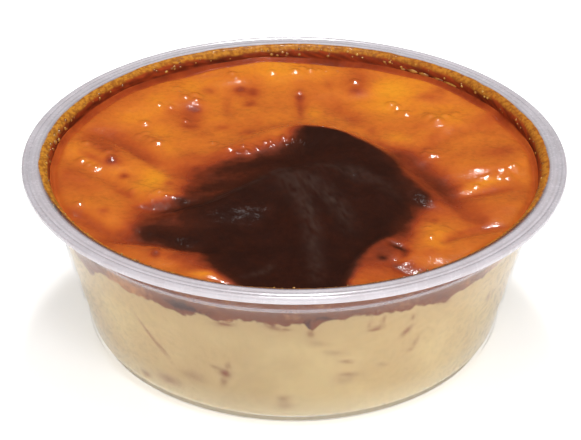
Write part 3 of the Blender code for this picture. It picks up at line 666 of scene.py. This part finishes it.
def build_custard(material):
    """The whole custard: skin, the film of syrup up the neck, the side and the bottom."""
    angle = 2 * math.pi * np.arange(COLUMNS) / COLUMNS
    u, v = NOISE_RADIUS * np.sin(angle), -NOISE_RADIUS * np.cos(angle)

    # the skin, out to where it clings to the wall
    skin_radii = [*np.linspace(0, SKIN_FINE_RADIUS, SKIN_ROWS + 1)[1:], *SKIN_EDGE_RADII]
    skin = np.concatenate([ring(angle, radius, 0) for radius in skin_radii])
    x, y = skin[:, 0], skin[:, 1]
    outward = np.hypot(x, y)
    char, browning = char_cover(x, y)
    relief, moist = fine_relief(x, y, char)
    skin[:, 2] = skin_height(x, y) + smoothstep(*RELIEF_FADE, outward) * relief
    rings = list(skin.reshape(-1, COLUMNS, 3))
    toast_and_shade = [skin_toast_and_shade(x, y, char, browning)]
    olive = [np.zeros(len(x))]

    # the film, thinning upwards until it ends inside the plastic
    film_top = FILM_REACH + 0.2 * angle_noise(angle, 7, 21) + 0.15 * angle_noise(angle, 2.2, 22)
    film_top = film_top - FILM_FRONT_LACK * smoothstep(0.1, 0.7, np.cos(angle))
    slow = angle_noise(angle, 11, 25)
    for share in np.arange(FILM_ROWS + 1) / FILM_ROWS:
        radius, level, out_radius, out_height = neck_surface(share * film_top)
        lumps = FILM_LUMPS * patchy(u + 3 * share, v - 5 * share, 0.9, 23)
        thinned = smoothstep(FILM_THINNING, 1, share)
        proud = (FILM_PROUD + lumps) * (1 - thinned) - INTO_WALL * thinned
        rings.append(ring(angle, radius + proud * out_radius, level + proud * out_height))
        mottle = patchy(u + 9 * share, v - 7 * share, 1.6, 24)
        toast_and_shade.append(0.70 - 0.14 * share + 0.10 * mottle + 0.08 * slow)
        olive_edge = smoothstep(0.32, 0.5, share + 0.12 * slow + 0.08 * mottle)
        olive.append(olive_edge * (0.875 - 0.125 * np.sin(angle)))
    film = [smoothstep(*FILM_ONSET, outward), np.ones((FILM_ROWS + 1) * COLUMNS)]
    side_start = len(rings) * COLUMNS

    # back down inside the plastic, then the side, the rounded foot and the bottom
    for share in (0.66, 0.33):
        radius, level, out_radius, out_height = neck_surface(share * film_top)
        rings.append(ring(angle, radius - INTO_WALL * out_radius, level - INTO_WALL * out_height))
    levels = np.linspace(SIDE_TOP, INNER_CORNER, SIDE_ROWS)
    outline = [(inner_wall_radius(level) + INTO_WALL, level) for level in levels]
    rounding = INNER_ROUNDING + INTO_WALL
    outline += arc((INNER_FOOT, INNER_CORNER), rounding, 0, -90, ROUNDING_ROWS)[1:]
    outline += [(radius, FLOOR_HEIGHT - INTO_WALL) for radius in BOTTOM_RADII]
    rings += [ring(angle, radius, level) for radius, level in outline]

    # the side: height over the edge of the crust, tone of the crust, and spots
    x_all, y_all, level = np.concatenate(rings).T
    around = np.arctan2(x_all, -y_all)
    degrees = np.degrees(around)
    jagged = 0.55 * angle_noise(around, 2.4, 31) + 0.3 * angle_noise(around, 0.9, 32)
    crust = level - angle_curve(CRUST_EDGE, around) - jagged
    u, v = NOISE_RADIUS * np.sin(around), NOISE_RADIUS * np.cos(around)
    tone = 0.18 * patchy(u + level, v, 3, 33)
    for centre, height, half_angle, half_height, dark in CRUST_TONES:
        u, v = (degrees - centre) / half_angle, (level - height) / half_height
        tone = tone + dark * np.exp(-(u**2) - v**2)
    spots = np.zeros(len(level))
    for centre, height, half_angle, half_height, lean, strength in SPOTS:
        rise = level - height
        u, v = (degrees - centre - lean * rise) / half_angle, rise / half_height
        spots = np.maximum(spots, SPOT_STRENGTH * strength * np.exp(-(u**2) - v**2))

    mesh = mesh_of_rings("custard_full", rings)
    for name, given, rest in (
        ("toast_and_shade", np.concatenate(toast_and_shade), 0.3),
        ("olive", np.concatenate(olive), 0.0),
        ("side", np.zeros(side_start), 1.0),
        ("film", np.concatenate(film), 0.0),
        ("moist", moist, 0.0),
        ("painted_sheen", char_painted_sheen(x, y, char), 0.0),
        ("crust", crust, crust[-1]),
        ("tone", tone, 0.0),
        ("spots", spots, 0.0),
    ):
        values = np.full(len(mesh.vertices), rest)
        values[: len(given)] = given
        # the tip in the middle of the skin is like the skin round it
        values[-2] = given[0]
        set_attribute(mesh, name, values)
    add_piece("custard_full", mesh, material, ["custard"])


# ------------ the tub
TUB_COLUMNS = 360
LIP_GROOVE_RADIUS = 57.15
LIP_GROOVE_DEPTH = 0.16
LIP_GROOVE_WIDTH = 0.28
LIP_DISH = 0.1
WALL_HAZE = 0.045
# milk on the bead, a painted highlight
BEAD_PAINTED_HIGHLIGHT = 0.35
ROOT_HAZE = 0.6
MOUTH_HAZE = 0.75
LIP_HAZE = 0.86
LIP_RINGS = 0.035
LIP_RING_WIDTH = 0.9


def tub_outline():
    """Rows of (radius, height, haze), where haze is how milky the plastic looks there; on the bead the milk
    is a painted highlight.
    """
    rows = []

    def run(points, haze_and_highlight):
        rows.extend((radius, height, haze_and_highlight) for radius, height in points)

    run([(12.0, FLOOR_HEIGHT), (26.0, FLOOR_HEIGHT)], WALL_HAZE)
    run(arc((INNER_FOOT, INNER_CORNER), INNER_ROUNDING, -90, 0, 8), WALL_HAZE)
    for level in np.linspace(INNER_CORNER, FLARE_START, 10)[1:]:
        run([(inner_wall_radius(level), level)], WALL_HAZE)
    run(FLARE, WALL_HAZE)

    # the lip: a rounded inner edge, a faintly dished top with a fine groove, a rounded outer bead
    run([(MOUTH_RADIUS, RIM_HEIGHT - MOUTH_DIP)], MOUTH_HAZE)
    lip_centre = RIM_RADIUS - LIP_ROUNDING
    for radius in np.linspace(MOUTH_RADIUS + MOUTH_ROUNDING, lip_centre, 28):
        across = (radius - MOUTH_RADIUS) / (lip_centre - MOUTH_RADIUS)
        dish = LIP_DISH * math.sin(math.pi * min(across / 0.7, 1)) ** 2
        groove = LIP_GROOVE_DEPTH * math.exp(-(((radius - LIP_GROOVE_RADIUS) / LIP_GROOVE_WIDTH) ** 2))
        rings = LIP_RINGS * math.sin(2 * math.pi * radius / LIP_RING_WIDTH)
        run([(radius, RIM_HEIGHT - dish - groove)], LIP_HAZE + rings)
    underside = RIM_HEIGHT - LIP_THICKNESS
    run(arc((lip_centre, RIM_HEIGHT - LIP_ROUNDING), LIP_ROUNDING, 90, 0, 8)[1:], LIP_HAZE)
    run(arc((lip_centre, underside + LIP_ROUNDING), LIP_ROUNDING, 0, -90, 8), LIP_HAZE)
    root = NECK_RADIUS + LIP_ROOT
    run([(root, underside)], ROOT_HAZE)
    run([(root - LIP_ROOT_ROUNDING, underside - LIP_ROOT_ROUNDING), (NECK_RADIUS, NECK_HEIGHT)], WALL_HAZE)

    # the wall, with its fine bead, whose milkiness paints the highlight along it
    bead_edge = BEAD_HALF_WIDTH + BEAD_SLOPE
    for along in np.linspace(bead_edge, -bead_edge, 9):
        share = min((bead_edge - abs(along)) / BEAD_SLOPE, 1)
        level = BEAD_HEIGHT + along
        run([(outer_wall_radius(level) + BEAD_PROUD * share, level)], WALL_HAZE + BEAD_PAINTED_HIGHLIGHT * share)
    for level in np.linspace(BEAD_HEIGHT - bead_edge, BASE_ROUNDING, 12)[1:]:
        run([(outer_wall_radius(level), level)], WALL_HAZE)
    run(arc((FOOT_RADIUS, BASE_ROUNDING), BASE_ROUNDING, 0, -90, 14)[1:], WALL_HAZE)

    # the foot ring and the recess that it surrounds
    ring_inside = FOOT_RADIUS - FOOT_WIDTH
    run([(ring_inside, 0.0), (ring_inside - FOOT_RECESS, FOOT_RECESS), (20.0, FOOT_RECESS)], WALL_HAZE)
    return rows


def build_tub(material):
    angle = 2 * math.pi * np.arange(TUB_COLUMNS) / TUB_COLUMNS
    outline = tub_outline()
    mesh = mesh_of_rings("tub_shell", [ring(angle, radius, level) for radius, level, _ in outline])
    radius, level, haze_and_highlight = np.array(outline).T
    set_attribute(mesh, "haze_and_highlight", np.append(np.repeat(haze_and_highlight, TUB_COLUMNS), [WALL_HAZE, WALL_HAZE]))

    # wetted: where the custard clings to the plastic, and the turn of the foot, which faces down
    wetted = (FOOT_RECESS < level) & (level < FLARE_START) & (radius < outer_wall_radius(level) - WALL / 2)
    set_attribute(mesh, "wetted", np.append(np.repeat(wetted, TUB_COLUMNS), [1, 0]))
    add_piece("tub_shell", mesh, material, ["tub"])


# ------------ bubbles and drops on the neck
BUBBLE_SEED = 5
BUBBLE_COUNT = 130
BUBBLE_SIZES = (0.14, 0.34)
BUBBLE_CLIMBS = (0.5, 2.2)
BUBBLE_THICKNESS = 0.75
BUBBLE_SEGMENTS = 10
BUBBLE_RINGS = 6
# Larger bubbles and drops: (angle in degrees, climb, half-length in mm along the rim, half-height)
DROPS = (
    (-103, 1.6, 0.75, 0.6), (-100.5, 2.2, 0.6, 0.5), (-98.5, 1.2, 0.7, 0.55), (-101, 0.6, 0.6, 0.5),
    (-96, 2, 0.5, 0.45), (-106, 1, 0.5, 0.45), (-95.5, 0.9, 0.45, 0.4), (-108, 2.1, 0.45, 0.4),
    (-87, 1.9, 0.4, 0.35), (-145.7, 0.7, 0.5, 0.35), (-148.2, 0.8, 0.35, 0.3), (-149.8, 0.9, 0.4, 0.3),
    (-174.2, 0.9, 0.45, 0.35), (-175.6, 0.6, 0.4, 0.3), (-177, 1.3, 0.45, 0.35), (-178.2, 0.9, 0.4, 0.35),
    (178.7, 0.8, 0.4, 0.35), (171.3, 0.7, 0.45, 0.35), (156.4, 1, 0.4, 0.3), (155, 1.2, 0.4, 0.3),
    (151.2, 0.25, 0.7, 0.3), (148.6, 0.4, 1.6, 0.45), (145.2, 0.35, 1.5, 0.45), (141, 0.3, 1.8, 0.4),
    (137, 0.25, 2.2, 0.35), (128.5, 1, 0.45, 0.35), (124, 1.3, 0.4, 0.3),
)


def build_bubbles(material):
    """Small flattened domes of dried syrup, seated in the film on the neck."""
    random = np.random.default_rng(BUBBLE_SEED)
    seats = [(math.radians(degrees), climb, length, tall) for degrees, climb, length, tall in DROPS]
    for _ in range(BUBBLE_COUNT):
        size = random.uniform(*BUBBLE_SIZES)
        place = random.uniform(-math.pi, math.pi), random.uniform(*BUBBLE_CLIMBS)
        seats.append((*place, size * random.uniform(1, 1.5), size))

    # a ball of radius 1, which each seat stretches
    tilt = np.linspace(0, math.pi, BUBBLE_RINGS + 1)[1:-1]
    spin = 2 * math.pi * np.arange(BUBBLE_SEGMENTS) / BUBBLE_SEGMENTS
    belts = [ring(spin + math.pi / 2, math.sin(t), math.cos(t)) for t in tilt]
    ball = np.vstack([*belts, (0, 0, 1), (0, 0, -1)])
    ball_faces = ring_faces(len(tilt), BUBBLE_SEGMENTS)
    points, faces = [], []
    for angle, climb, length, tall in seats:
        radius, height, out_radius, out_height = neck_surface(climb)
        sine, cosine = math.sin(angle), -math.cos(angle)
        out = np.array([out_radius * sine, out_radius * cosine, out_height])
        along = np.array([-cosine, sine, 0.0])
        thick = BUBBLE_THICKNESS * tall
        centre = np.array([radius * sine, radius * cosine, height]) + out * (FILM_PROUD - 0.25 * thick)
        stretch = np.array([length * along, tall * np.cross(along, out), thick * out])
        faces += [[len(points) + corner for corner in face] for face in ball_faces]
        points += list(centre + ball @ stretch)
    add_piece("syrup_bubbles", smooth_mesh("syrup_bubbles", points, faces), material)


# ------------ materials
TOAST_COLOURS = (
    (0.00, srgb(226, 143, 38)),
    (0.12, srgb(218, 129, 38)),
    (0.25, srgb(204, 110, 40)),
    (0.42, srgb(180, 84, 36)),
    (0.55, srgb(150, 62, 30)),
    (0.68, srgb(112, 46, 24)),
    (0.82, srgb(66, 31, 20)),
    (1.00, srgb(44, 23, 17)),
)
# the painted sheen on the char's ridges
PAINTED_SHEEN_COLOUR = srgb(68, 50, 43)
CREAM_LIGHT = srgb(231, 208, 154)
# painted reflection of the pale floor, low on the side
CREAM_FLOOR_LIGHT = srgb(236, 222, 190)
CREAM_DARK = srgb(219, 192, 138)
SPOT_COLOUR = srgb(160, 94, 54)
CRUST_LIGHT = srgb(206, 142, 80)
CRUST_MIDDLE = srgb(146, 76, 30)
CRUST_DARK = srgb(82, 32, 16)
OLIVE_LIGHT = srgb(196, 132, 46)
OLIVE_DARK = srgb(150, 92, 34)
PLASTIC_MILK = srgb(210, 204, 210)


def new_material(name):
    material = bpy.data.materials.new(name)
    material.use_nodes = True
    material.node_tree.nodes.clear()
    return material, material.node_tree


def add_node(tree, kind, inputs=None, **settings):
    """A shader node; inputs maps a socket's name or number to a value or to another node's output."""
    node = tree.nodes.new(kind)
    for name, value in settings.items():
        setattr(node, name, value)
    for key, value in (inputs or {}).items():
        if isinstance(value, bpy.types.NodeSocket):
            tree.links.new(value, node.inputs[key])
        else:
            node.inputs[key].default_value = value
    return node


def attribute(tree, name):
    return add_node(tree, "ShaderNodeAttribute", attribute_name=name).outputs["Fac"]


def maths(tree, operation, *values):
    return add_node(tree, "ShaderNodeMath", dict(enumerate(values)), operation=operation).outputs[0]


def mix_colours(tree, factor, first, second):
    node = add_node(tree, "ShaderNodeMix", {0: factor, 6: first, 7: second}, data_type="RGBA")
    return node.outputs[2]


def remap(tree, value, low, high, to_low=0.0, to_high=1.0):
    inputs = {"Value": value, "From Min": low, "From Max": high, "To Min": to_low, "To Max": to_high}
    return add_node(tree, "ShaderNodeMapRange", inputs, interpolation_type="SMOOTHSTEP").outputs[0]


def noise(tree, size, detail=2.0, stretch=(1, 1, 1)):
    """Noise from 0 to 1 with lumps of about size mm."""
    place = add_node(tree, "ShaderNodeTexCoord").outputs["Object"]
    if stretch != (1, 1, 1):
        place = add_node(tree, "ShaderNodeMapping", {"Vector": place, "Scale": stretch}).outputs[0]
    inputs = {"Vector": place, "Scale": 1 / (size * MM), "Detail": detail}
    return add_node(tree, "ShaderNodeTexNoise", inputs).outputs["Fac"]


def ramp(tree, factor, stops):
    node = add_node(tree, "ShaderNodeValToRGB", {"Fac": factor})
    elements = node.color_ramp.elements
    elements[0].position, elements[0].color = stops[0]
    elements[1].position, elements[1].color = stops[-1]
    for position, colour in stops[1:-1]:
        elements.new(position).color = colour
    return node.outputs["Color"]


def bumped(tree, height, depth):
    """The normal of a surface whose relief is depth mm deep."""
    inputs = {"Height": height, "Strength": 1.0, "Distance": depth * MM}
    return add_node(tree, "ShaderNodeBump", inputs).outputs[0]


def finish_material(tree, shader):
    add_node(tree, "ShaderNodeOutputMaterial", {"Surface": shader})


def custard_material():
    material, tree = new_material("burnt_custard_full")
    toast_and_shade = attribute(tree, "toast_and_shade")

    # the skin: toast and painted shade with a fine grain, and a painted sheen of faint greyish streaks
    # where it is charred
    grain = maths(tree, "SUBTRACT", noise(tree, 1.1, 4.0), 0.5)
    toast_and_shade = maths(tree, "ADD", toast_and_shade, maths(tree, "MULTIPLY", grain, 0.10))
    skin = ramp(tree, toast_and_shade, TOAST_COLOURS)
    skin = mix_colours(tree, attribute(tree, "painted_sheen"), skin, PAINTED_SHEEN_COLOUR)
    olive_mottle = remap(tree, noise(tree, 0.9, 3.0), 0.35, 0.65)
    olive = mix_colours(tree, olive_mottle, OLIVE_DARK, OLIVE_LIGHT)
    skin = mix_colours(tree, attribute(tree, "olive"), skin, olive)

    # the side: cream with spots, and the jagged brown crust along its top
    mottle = remap(tree, noise(tree, 14, 4.0), 0.35, 0.65)
    # painted shade: just under the crust the mottle gives way to the darker cream
    clear_of_crust_shade = remap(tree, attribute(tree, "crust"), -7.0, -1.0, 1.0, 0.0)
    mottle = maths(tree, "MULTIPLY", mottle, clear_of_crust_shade)
    cream = mix_colours(tree, mottle, CREAM_DARK, CREAM_LIGHT)
    place = add_node(tree, "ShaderNodeTexCoord").outputs["Object"]
    level = add_node(tree, "ShaderNodeSeparateXYZ", {0: place}).outputs["Z"]
    # painted light: towards the foot the cream turns paler, a painted reflection of the pale floor
    floor_light = remap(tree, level, 11 * MM, 1.5 * MM, 0.0, 0.85)
    cream = mix_colours(tree, floor_light, cream, CREAM_FLOOR_LIGHT)
    blur = maths(tree, "MULTIPLY", maths(tree, "SUBTRACT", noise(tree, 0.8, 3.0), 0.5), 0.5)
    spots = attribute(tree, "spots")
    rough_spots = maths(tree, "ADD", spots, maths(tree, "MULTIPLY", spots, blur))
    cream = mix_colours(tree, rough_spots, cream, SPOT_COLOUR)
    flake = maths(tree, "SUBTRACT", noise(tree, 1.0, 4.0), 0.5)
    crust = maths(tree, "ADD", attribute(tree, "crust"), maths(tree, "MULTIPLY", flake, 1.3))
    tone = maths(tree, "ADD", attribute(tree, "tone"), maths(tree, "MULTIPLY", flake, 0.9))
    lighter = remap(tree, tone, -0.5, 0.0)
    darker = remap(tree, tone, 0.1, 0.7)
    browned = mix_colours(tree, lighter, CRUST_LIGHT, CRUST_MIDDLE)
    browned = mix_colours(tree, darker, browned, CRUST_DARK)
    side = mix_colours(tree, remap(tree, crust, -0.35, 0.35), cream, browned)
    side_mask = attribute(tree, "side")
    colour = mix_colours(tree, side_mask, skin, side)

    # gloss: wet on the orange, duller on the char, and broken up by a fine pebbling
    roughness = remap(tree, toast_and_shade, 0.4, 0.9, 0.22, 0.46)
    roughness = maths(tree, "ADD", roughness, maths(tree, "MULTIPLY", side_mask, 0.15))
    burnt = remap(tree, toast_and_shade, 0.5, 0.85, 0.0, 0.96)
    film = maths(tree, "MULTIPLY", attribute(tree, "film"), 0.75)
    dull = maths(tree, "MAXIMUM", burnt, film)
    shine = maths(tree, "SUBTRACT", 1.0, dull)
    beads = remap(tree, noise(tree, 1.2, 2.0), 0.46, 0.62, 0.08, 0.8)
    moist = maths(tree, "MAXIMUM", beads, attribute(tree, "moist"))
    pebbles = noise(tree, 0.55, 2.0)
    ripples = noise(tree, 1.8, 2.0)
    height = maths(tree, "ADD", pebbles, maths(tree, "MULTIPLY", ripples, 2.0))
    inputs = {
        "Base Color": colour,
        "Roughness": roughness,
        "IOR": 1.4,
        "Specular IOR Level": maths(tree, "MULTIPLY", shine, 0.16),
        "Subsurface Weight": 0.12,
        "Subsurface Radius": (1.0, 0.35, 0.15),
        "Subsurface Scale": 1.5 * MM,
        "Coat Weight": maths(tree, "MULTIPLY", shine, moist),
        "Coat Roughness": 0.09,
        "Coat IOR": 1.5,
        "Normal": bumped(tree, height, 0.035),
        "Coat Normal": bumped(tree, height, 0.05),
    }
    finish_material(tree, add_node(tree, "ShaderNodeBsdfPrincipled", inputs).outputs[0])
    return material


def bubble_material():
    """Amber, olive and brown drops of syrup, told apart by a noise much larger than they are."""
    material, tree = new_material("syrup_drops")
    kind = remap(tree, noise(tree, 2.5, 2.0), 0.35, 0.65)
    stops = ((0.0, srgb(122, 66, 28)), (0.45, srgb(160, 104, 42)), (1.0, srgb(190, 140, 60)))
    colour = ramp(tree, kind, stops)
    inputs = {
        "Base Color": colour,
        "Roughness": remap(tree, kind, 0.0, 1.0, 0.12, 0.2),
        "IOR": 1.45,
        "Coat Weight": 1.0,
        "Coat Roughness": 0.04,
        "Normal": bumped(tree, noise(tree, 0.3), 0.01),
    }
    finish_material(tree, add_node(tree, "ShaderNodeBsdfPrincipled", inputs).outputs[0])
    return material


def plastic_material():
    """Clear plastic: it lets light straight through, mirrors by Fresnel, and is milky where it is thick,
    and along its bead as a painted highlight.
    """
    material, tree = new_material("clear_plastic_full")
    cloud = remap(tree, noise(tree, 6.0, 3.0, (1, 1, 0.3)), 0.3, 0.7, 0.94, 1.06)
    haze_and_highlight = maths(tree, "MULTIPLY", attribute(tree, "haze_and_highlight"), cloud)
    scratches = noise(tree, 0.7, 3.0, (1, 1, 0.15))
    roughness = remap(tree, scratches, 0.3, 0.7, 0.16, 0.3)
    normal = bumped(tree, scratches, 0.01)
    milk = {"Base Color": PLASTIC_MILK, "Roughness": roughness, "IOR": 1.49, "Normal": normal}
    milk = add_node(tree, "ShaderNodeBsdfPrincipled", milk).outputs[0]
    clear = add_node(tree, "ShaderNodeBsdfTransparent", {"Color": (1, 1, 1, 1)}).outputs[0]
    body = add_node(tree, "ShaderNodeMixShader", {0: haze_and_highlight, 1: clear, 2: milk}).outputs[0]
    gloss = {"Color": (1, 1, 1, 1), "Roughness": 0.06, "Normal": normal}
    gloss = add_node(tree, "ShaderNodeBsdfGlossy", gloss).outputs[0]
    fresnel = add_node(tree, "ShaderNodeFresnel", {"IOR": 1.49, "Normal": normal}).outputs[0]
    # no mirror where the custard clings to the plastic
    mirror = maths(tree, "MULTIPLY", fresnel, maths(tree, "SUBTRACT", 1.0, attribute(tree, "wetted")))
    shader = add_node(tree, "ShaderNodeMixShader", {0: mirror, 1: body, 2: gloss}).outputs[0]
    finish_material(tree, shader)
    return material


def floor_material():
    material, tree = new_material("pale_floor")
    shade = remap(tree, noise(tree, 60, 3.0), 0.2, 0.8)
    colour = mix_colours(tree, shade, (0.90, 0.90, 0.90, 1), (0.93, 0.93, 0.93, 1))
    inputs = {
        "Base Color": colour,
        "Roughness": 0.9,
        "Specular IOR Level": 0.0,
        "Emission Color": (1, 1, 1, 1),
        "Emission Strength": FLOOR_GLOW,
    }
    finish_material(tree, add_node(tree, "ShaderNodeBsdfPrincipled", inputs).outputs[0])
    return material


# ------------ the studio
FLOOR_SIZE = 8.0
FLOOR_GLOW = 0.4
CAMERA_ELEVATION = 30.235
CAMERA_DISTANCE = 499.0
CAMERA_ROLL = 0.212
AIM = (-0.76, 0.0, 23.94)
SENSOR_WIDTH = 36.0
LENS = 141.29

# Soft boxes: (name, azimuth, elevation, distance in m, width, height, watts); azimuth 0 is the front.
SOFT_BOXES = (
    ("overhead", 10, 80, 1.0, 0.9, 0.9, 3.0),
    ("back", 176, 67, 1.0, 0.17, 0.17, 5.4),
    ("front", 12, 52, 1.1, 0.2, 0.2, 1.4),
    ("fill", 30, 20, 1.2, 0.7, 0.5, 4.4),
    ("left fill", -36, 18, 1.2, 0.7, 0.5, 2.4),
)


def build_floor():
    half = FLOOR_SIZE / 2
    corners = [(-half, -half, 0), (half, -half, 0), (half, half, 0), (-half, half, 0)]
    mesh = bpy.data.meshes.new("floor")
    mesh.from_pydata(corners, [], [(0, 1, 2, 3)])
    mesh.materials.append(floor_material())
    add_object("floor", mesh)


def build_lights():
    middle = Vector((0, 0, 0.6 * RIM_HEIGHT * MM))
    for name, azimuth, elevation, distance, width, height, watts in SOFT_BOXES:
        light = bpy.data.lights.new(name, "AREA")
        light.shape = "RECTANGLE"
        light.size, light.size_y = width, height
        light.energy = watts
        lamp = add_object(name, light)
        turn, lift = math.radians(azimuth), math.radians(elevation)
        way = Vector((math.sin(turn) * math.cos(lift), -math.cos(turn) * math.cos(lift), math.sin(lift)))
        lamp.location = middle + distance * way
        lamp.rotation_euler = way.to_track_quat("Z", "Y").to_euler()
        # the fills brighten the side, but glossy surfaces don't mirror them
        lamp.visible_glossy = "fill" not in name


def build_world():
    """A pale dome, dim low down behind the tub so that the dark skin stays dark."""
    world = bpy.data.worlds.new("studio")
    bpy.context.scene.world = world
    world.use_nodes = True
    tree = world.node_tree
    tree.nodes.clear()
    way = add_node(tree, "ShaderNodeTexCoord").outputs["Generated"]
    parts = add_node(tree, "ShaderNodeSeparateXYZ", {0: way}).outputs
    high = remap(tree, parts["Z"], 0.6, 1.0, 0.03, 0.15)
    front = remap(tree, parts["Y"], 0.0, -0.8, 0.0, 0.55)
    strength = maths(tree, "ADD", high, front)
    seen = add_node(tree, "ShaderNodeLightPath").outputs["Is Camera Ray"]
    strength = add_node(tree, "ShaderNodeMix", {0: seen, 2: strength, 3: 1.0}, data_type="FLOAT").outputs[0]
    background = add_node(tree, "ShaderNodeBackground", {"Color": (1, 1, 1, 1), "Strength": strength})
    add_node(tree, "ShaderNodeOutputWorld", {"Surface": background.outputs[0]})


def build_camera():
    camera = bpy.data.cameras.new("camera")
    camera.sensor_width = SENSOR_WIDTH
    camera.lens = LENS
    camera.clip_start = 0.01
    eye = add_object("camera", camera)
    lift = math.radians(CAMERA_ELEVATION)
    back = Vector((0, -math.cos(lift), math.sin(lift)))
    place = (Vector(AIM) + CAMERA_DISTANCE * back) * MM
    turn = Matrix.Rotation(math.pi / 2 - lift, 4, "X") @ Matrix.Rotation(math.radians(CAMERA_ROLL), 4, "Z")
    eye.matrix_world = Matrix.Translation(place) @ turn
    bpy.context.scene.camera = eye


def main():
    build_custard(custard_material())
    build_tub(plastic_material())
    build_bubbles(bubble_material())
    build_floor()
    build_lights()
    build_world()
    build_camera()
    bpy.context.scene.view_settings.view_transform = "Standard"


main()
